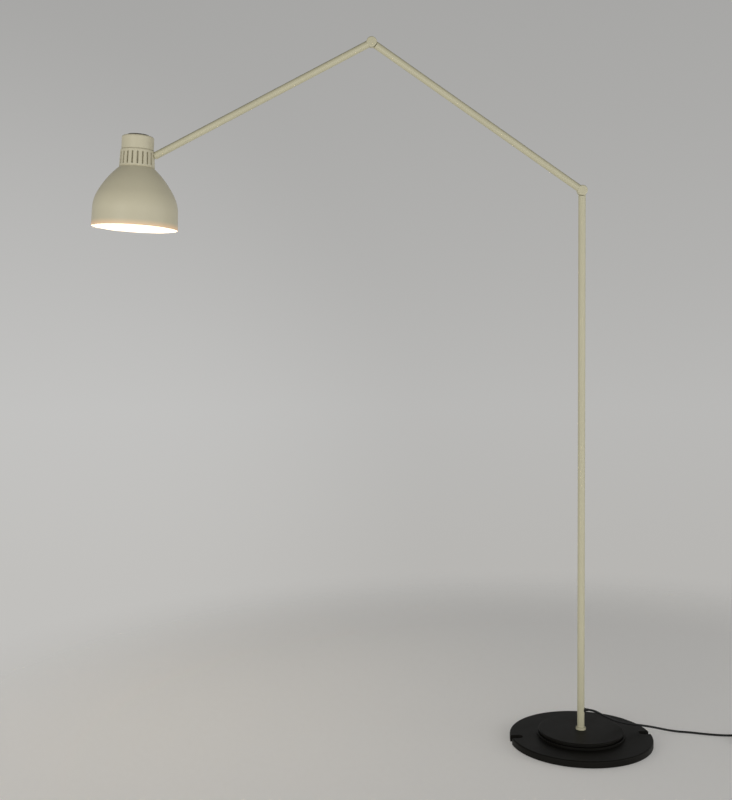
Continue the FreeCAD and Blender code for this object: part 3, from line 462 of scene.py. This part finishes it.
lined = node_in(spinning, "GeometryNodeSetMaterial", Geometry=coated.outputs["Geometry"], Selection=is_inside,
                Material=spin_in["Inside"])
spinning.links.new(lined.outputs["Geometry"], spinning.nodes.new("NodeGroupOutput").inputs["Mesh"])


def made_by_nodes(piece, group, values):
    """Plain mesh that a Geometry Nodes group makes on an object, with its inputs set by identifier."""
    modifier = piece.modifiers.new(group.name, "NODES")
    modifier.node_group = group
    for item in group.interface.items_tree:
        if item.item_type == "SOCKET" and item.name in values:
            modifier[item.identifier] = values[item.name]
    evaluated = piece.evaluated_get(bpy.context.evaluated_depsgraph_get())
    mesh = bpy.data.meshes.new_from_object(evaluated)
    piece.modifiers.clear()
    return mesh


def smooth_but_sharp(shell, sharp_degrees):
    """Smooth faces, with a sharp edge where two of them meet at this angle or more."""
    for face in shell.faces:
        face.smooth = True
    for edge in shell.edges:
        edge.smooth = edge.calc_face_angle(0.0) < math.radians(sharp_degrees)


def spun(name, profile, segments, outside, inside=None, inside_rows=(0, 0)):
    """Closed spun or turned piece from (radius, height) points, as a plain mesh object."""
    points = bpy.data.meshes.new(name + "_profile")
    closed = list(profile) + [profile[0]]
    points.from_pydata([(r, 0, z) for r, z in closed], [], [])
    blank = linked(name, points)
    finished = made_by_nodes(blank, spinning, {
        "Rows": len(closed), "Segments": segments, "Outside": outside, "Inside": inside or outside,
        "Inside From": float(inside_rows[0]), "Inside To": float(inside_rows[1])})
    blank.data = finished
    shell = bmesh.new()
    shell.from_mesh(finished)
    bmesh.ops.remove_doubles(shell, verts=shell.verts, dist=spun_merge)
    bmesh.ops.dissolve_degenerate(shell, edges=shell.edges, dist=spun_merge)
    bmesh.ops.recalc_face_normals(shell, faces=shell.faces)
    smooth_but_sharp(shell, 40)
    shell.to_mesh(finished)
    shell.free()
    return blank


shade_coat_with_glow = coating("shade_coat_painted_rim_glow", head_cream, 0.45, 9.0, 900.0, 0.00002,
                     spread=0.03, dust_and_shade_amount=0.05)
shade_tree = shade_coat_with_glow.node_tree
# Painted glow: the outer coat emits a warm orange that fades out from the rim up to the glow's height.
from_rim = shade_tree.nodes.new("ShaderNodeVectorMath")
from_rim.operation = "DOT_PRODUCT"
from_rim.inputs[1].default_value = up
shade_tree.links.new(shade_tree.nodes.new("ShaderNodeTexCoord").outputs["Object"], from_rim.inputs[0])
painted_glow_fade = shade_tree.nodes.new("ShaderNodeMapRange")
painted_glow_fade.interpolation_type = "SMOOTHSTEP"
painted_glow_fade.inputs["From Min"].default_value = rim_centre.dot(up) + painted_glow_height
painted_glow_fade.inputs["From Max"].default_value = rim_centre.dot(up)
shade_tree.links.new(from_rim.outputs["Value"], painted_glow_fade.inputs["Value"])
painted_rim_glow = shade_tree.nodes.new("ShaderNodeMix")
painted_rim_glow.data_type = "RGBA"
painted_rim_glow.inputs["A"].default_value = (0, 0, 0, 1)
painted_rim_glow.inputs["B"].default_value = (0.25, 0.09, 0.02, 1)
shade_tree.links.new(painted_glow_fade.outputs["Result"], painted_rim_glow.inputs["Factor"])
shade_surface = shade_tree.nodes["Principled BSDF"]
shade_tree.links.new(painted_rim_glow.outputs["Result"], shade_surface.inputs["Emission Color"])
shade_surface.inputs["Emission Strength"].default_value = 1.0
white_enamel = coating("white_enamel", (0.86, 0.85, 0.82), 0.35, 12.0, 700.0, 0.00004, spread=0.02)

shade = spun("spun_shade", shade_profile, shade_segments, shade_coat_with_glow, white_enamel, shade_inner_rows)
shade.data.transform(head_place)
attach(shade, "head")
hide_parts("shade")


# Slotted collar: a turned ring that widens towards the shade, with nineteen milled slots for the bulb's
# heat and a plain stretch where the arm goes in. A rebate round its foot leaves a fine shadow line.

collar_foot_r, collar_head_r, collar_bore_r = 0.0387, 0.0369, 0.0342
collar_foot, collar_top, collar_segments = 0.1334, 0.1706, 168
foot_clearance, rebate_high, rebate_deep = 0.0001, 0.0013, 0.0016
collar_edge, foot_edge, foot_taper = 0.0006, 0.0003, 0.00005
slot_places, slot_count, first_slot = 21, 19, 1.5
slot_wide, slot_bottom, slot_top, slot_end_steps = 0.0036, 0.138, 0.1655, 8
slot_tool_from, slot_tool_to = 0.030, 0.045
collar_profile = [
    (collar_bore_r, collar_foot + foot_clearance),
    (collar_foot_r - rebate_deep, collar_foot + foot_clearance),
    (collar_foot_r - rebate_deep, collar_foot + rebate_high),
    (collar_foot_r - foot_edge, collar_foot + rebate_high),
    (collar_foot_r - foot_taper, collar_foot + rebate_high + foot_edge),
    (collar_head_r, collar_top - collar_edge),
    (collar_head_r - collar_edge, collar_top),
    (collar_bore_r, collar_top)]
collar_blank = spun("collar_blank", collar_profile, collar_segments, head_coat)

slot_tool = bmesh.new()
slot_outline = []
for centre_z, first in ((slot_top - slot_wide / 2, 0), (slot_bottom + slot_wide / 2, 180)):
    for step in range(slot_end_steps + 1):
        angle = math.radians(first + 180 * step / slot_end_steps)
        slot_outline.append((slot_wide / 2 * math.cos(angle), centre_z + slot_wide / 2 * math.sin(angle)))
ends = [[slot_tool.verts.new((x, y, z)) for y, z in slot_outline] for x in (slot_tool_from, slot_tool_to)]
slot_tool.faces.new(ends[0])
slot_tool.faces.new(ends[1])
for index in range(len(slot_outline)):
    following = (index + 1) % len(slot_outline)
    slot_tool.faces.new((ends[0][index], ends[0][following], ends[1][following], ends[1][index]))
bmesh.ops.recalc_face_normals(slot_tool, faces=slot_tool.faces)
slot_mesh = bpy.data.meshes.new("slot_tool")
slot_tool.to_mesh(slot_mesh)
slot_tool.free()
slot_cutter = linked("slot_tool", slot_mesh)

milling = bpy.data.node_groups.new("milled_slots", "GeometryNodeTree")
for socket, kind in (("Blank", "Geometry"), ("Cutter", "Object"), ("Slots", "Int"), ("Places", "Int"),
                     ("Coat", "Material")):
    milling.interface.new_socket(socket, in_out="INPUT", socket_type="NodeSocket" + kind)
milling.interface.new_socket("Mesh", in_out="OUTPUT", socket_type="NodeSocketGeometry")
mill_in = milling.nodes.new("NodeGroupInput").outputs
places = node_in(milling, "GeometryNodePoints", Count=mill_in["Slots"])
slot_number = milling.nodes.new("GeometryNodeInputIndex").outputs["Index"]
which = maths(milling, "ADD", slot_number, first_slot)
around = maths(milling, "MULTIPLY", maths(milling, "DIVIDE", which, mill_in["Places"]), 2 * math.pi)
heading = node_in(milling, "ShaderNodeCombineXYZ", Z=around)
tool = node_in(milling, "GeometryNodeObjectInfo", Object=mill_in["Cutter"])
cutters = node_in(milling, "GeometryNodeInstanceOnPoints", Points=places.outputs["Points"],
                  Instance=tool.outputs["Geometry"], Rotation=heading.outputs["Vector"])
cut_shapes = node_in(milling, "GeometryNodeRealizeInstances", Geometry=cutters.outputs["Instances"])
milled = milling.nodes.new("GeometryNodeMeshBoolean")
milled.operation = "DIFFERENCE"
milling.links.new(mill_in["Blank"], milled.inputs["Mesh 1"])
milling.links.new(cut_shapes.outputs["Geometry"], milled.inputs["Mesh 2"])
real = node_in(milling, "GeometryNodeRealizeInstances", Geometry=milled.outputs["Mesh"])
coated = node_in(milling, "GeometryNodeSetMaterial", Geometry=real.outputs["Geometry"],
                 Material=mill_in["Coat"])
milling.links.new(coated.outputs["Geometry"], milling.nodes.new("NodeGroupOutput").inputs["Mesh"])

collar_mesh = made_by_nodes(collar_blank, milling, {
    "Cutter": slot_cutter, "Slots": slot_count, "Places": slot_places, "Coat": head_coat})
bpy.data.objects.remove(collar_blank)
bpy.data.objects.remove(slot_cutter)
collar_shell = bmesh.new()
collar_shell.from_mesh(collar_mesh)
smooth_but_sharp(collar_shell, 25)
collar_shell.to_mesh(collar_mesh)
collar_shell.free()
collar = linked("slotted_collar", collar_mesh)
collar.data.transform(head_place)
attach(collar, "head")
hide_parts("slotted_ring")


# Fittings in the head: the inner sleeve behind the slots, the switch and its button in the cap, bracket
# and hinge, and the lampholder with its lit opal bulb.

finish_node("neck_sleeve", coating("inner_sleeve", (0.50, 0.46, 0.33), 0.6, 40.0, 900.0, 0.00006))
button_plastic = coating("button_plastic", (0.055, 0.047, 0.026), 0.42, 60.0, 1600.0, 0.00005,
                         spread=0.1, dust_and_shade_amount=0.05)
finish_node("switch_button", button_plastic)
finish_node("switch_body", coating("switch_plastic", (0.03, 0.03, 0.03), 0.5, 60.0, 1600.0, 0.00005))
for name in ("head_bracket", "tilt_pin", "tilt_nut", "shade_screws", "lampholder_nipple", "nipple_nut"):
    finish_node(name, zinc)
for name in ("tilt_washers", "terminal_block"):
    finish_node(name, nylon)
finish_node("lampholder", coating("holder_plastic", (0.70, 0.68, 0.62), 0.4, 60.0, 1600.0, 0.00003))
finish_node("bulb_cap", metal("bulb_shell", (0.72, 0.72, 0.70), 0.3, (300.0, 300.0, 900.0)))

opal_glass, _, bulb_surface = shader("opal_bulb")
bulb_surface.inputs["Base Color"].default_value = (0.95, 0.93, 0.88, 1)
bulb_surface.inputs["Roughness"].default_value = 0.3
bulb_surface.inputs["Emission Color"].default_value = (1.0, 0.78, 0.55, 1)
bulb_surface.inputs["Emission Strength"].default_value = 14.0
finish_node("bulb_glass", opal_glass)


# Studio: a pale floor that fades into the backdrop's tone away from the lamp, with a warm pool of light
# painted on it to the left, a room light that is weaker from above, and three soft round lights: two in
# front, left and right, and one from the right side.

floor_radius, fade_start, fade_end = 9.0, 1.0, 1.9
# Painted pool of light: the floor's glow is brighter and warmer round a spot left of the lamp and fades out
# over the pool's radius.
painted_pool_centre, painted_pool_radius = (-1.3, 0.2, 0), 1.7
painted_pool_bright, painted_pool_dim = (0.275, 0.262, 0.240, 1), (0.175, 0.173, 0.168, 1)
bpy.ops.mesh.primitive_circle_add(vertices=128, radius=floor_radius, fill_type="NGON")
floor = bpy.context.object
floor.name = "studio_floor"
floor_paint, floor_tree, floor_surface = shader("studio_floor")
floor_surface.inputs["Base Color"].default_value = (0.80, 0.79, 0.77, 1)
floor_surface.inputs["Emission Strength"].default_value = 1.0
floor_surface.inputs["Roughness"].default_value = 0.85
away = floor_tree.nodes.new("ShaderNodeVectorMath")
away.operation = "LENGTH"
floor_tree.links.new(floor_tree.nodes.new("ShaderNodeTexCoord").outputs["Object"], away.inputs[0])
fade = floor_tree.nodes.new("ShaderNodeMapRange")
fade.interpolation_type = "SMOOTHSTEP"
fade.inputs["From Min"].default_value = fade_start
fade.inputs["From Max"].default_value = fade_end
fade.inputs["To Min"].default_value = 1.0
fade.inputs["To Max"].default_value = 0.0
floor_tree.links.new(away.outputs["Value"], fade.inputs["Value"])
from_painted_pool = floor_tree.nodes.new("ShaderNodeVectorMath")
from_painted_pool.operation = "DISTANCE"
from_painted_pool.inputs[1].default_value = painted_pool_centre
floor_tree.links.new(floor_tree.nodes.new("ShaderNodeTexCoord").outputs["Object"], from_painted_pool.inputs[0])
painted_pool = floor_tree.nodes.new("ShaderNodeValToRGB")
painted_pool.color_ramp.interpolation = "EASE"
painted_pool.color_ramp.elements[0].color = painted_pool_bright
painted_pool.color_ramp.elements[1].color = painted_pool_dim
painted_pool_reach = floor_tree.nodes.new("ShaderNodeMapRange")
painted_pool_reach.inputs["From Max"].default_value = painted_pool_radius
floor_tree.links.new(from_painted_pool.outputs["Value"], painted_pool_reach.inputs["Value"])
floor_tree.links.new(painted_pool_reach.outputs["Result"], painted_pool.inputs["Fac"])
floor_tree.links.new(painted_pool.outputs["Color"], floor_surface.inputs["Emission Color"])
floor_tree.links.new(fade.outputs["Result"], floor_surface.inputs["Alpha"])
floor.data.materials.append(floor_paint)

# The room's tone at heights from straight down, 0, to straight up, 1, and a faint brighter patch on the left.
lowest_height, lowest_tone = 0.40, (0.475, 0.467, 0.45, 1)
highest_height, highest_tone = 1.0, (0.09, 0.09, 0.088, 1)
room_tones = ((0.47, 0.485), (0.53, 0.445), (0.60, 0.407), (0.65, 0.386), (0.76, 0.26), (0.88, 0.12))
green_share, blue_share = 0.993, 0.972
patch_towards, patch_edge, patch_extra = (-0.37, 0.92, -0.13), 0.90, 0.06

world = bpy.data.worlds.new("room")
bpy.context.scene.world = world
world.use_nodes = True
room = world.node_tree
direction = room.nodes.new("ShaderNodeSeparateXYZ")
room.links.new(room.nodes.new("ShaderNodeTexCoord").outputs["Generated"], direction.inputs["Vector"])
sky = room.nodes.new("ShaderNodeValToRGB")
height_of = room.nodes.new("ShaderNodeMapRange")
height_of.inputs["From Min"].default_value = -1.0
room.links.new(direction.outputs["Z"], height_of.inputs["Value"])
tones = sky.color_ramp.elements
tones[0].position, tones[0].color = lowest_height, lowest_tone
tones[1].position, tones[1].color = highest_height, highest_tone
for height, tone in room_tones:
    stop = tones.new(height)
    stop.color = (tone, tone * green_share, tone * blue_share, 1)
room.links.new(height_of.outputs["Result"], sky.inputs["Fac"])
background = room.nodes["Background"]
patch = room.nodes.new("ShaderNodeVectorMath")
patch.operation = "DOT_PRODUCT"
patch.inputs[1].default_value = patch_towards
room.links.new(room.nodes["Texture Coordinate"].outputs["Generated"], patch.inputs[0])
patch_strength = room.nodes.new("ShaderNodeMapRange")
patch_strength.interpolation_type = "SMOOTHSTEP"
patch_strength.inputs["From Min"].default_value = patch_edge
patch_strength.inputs["To Min"].default_value = 0.0
patch_strength.inputs["To Max"].default_value = patch_extra
room.links.new(patch.outputs["Value"], patch_strength.inputs["Value"])
lit_backdrop = room.nodes.new("ShaderNodeVectorMath")
room.links.new(sky.outputs["Color"], lit_backdrop.inputs[0])
room.links.new(patch_strength.outputs["Result"], lit_backdrop.inputs[1])
room.links.new(lit_backdrop.outputs["Vector"], background.inputs["Color"])
background.inputs["Strength"].default_value = 1.0


def soft_light(name, place, target, width, power, colour):
    """Soft round light aimed at a point."""
    light = bpy.data.lights.new(name, "AREA")
    light.shape = "DISK"
    light.size = width
    light.energy = power
    light.color = colour
    lamp = linked(name, light)
    lamp.location = place
    lamp.rotation_euler = (Vector(target) - Vector(place)).to_track_quat("-Z", "Y").to_euler()


soft_light("key", (-2.5, -3.2, 0.75), (-0.4, 0, 0.8), 2.2, 36.0, (1.0, 0.985, 0.95))
soft_light("fill", (1.1, -3.6, 0.7), (-0.4, 0, 0.8), 2.4, 24.0, (0.98, 0.985, 1.0))
soft_light("side", (3.0, -1.2, 0.9), (-0.9, 0, 1.2), 1.8, 16.0, (1.0, 0.99, 0.98))

bpy.context.scene.view_settings.view_transform = "Standard"
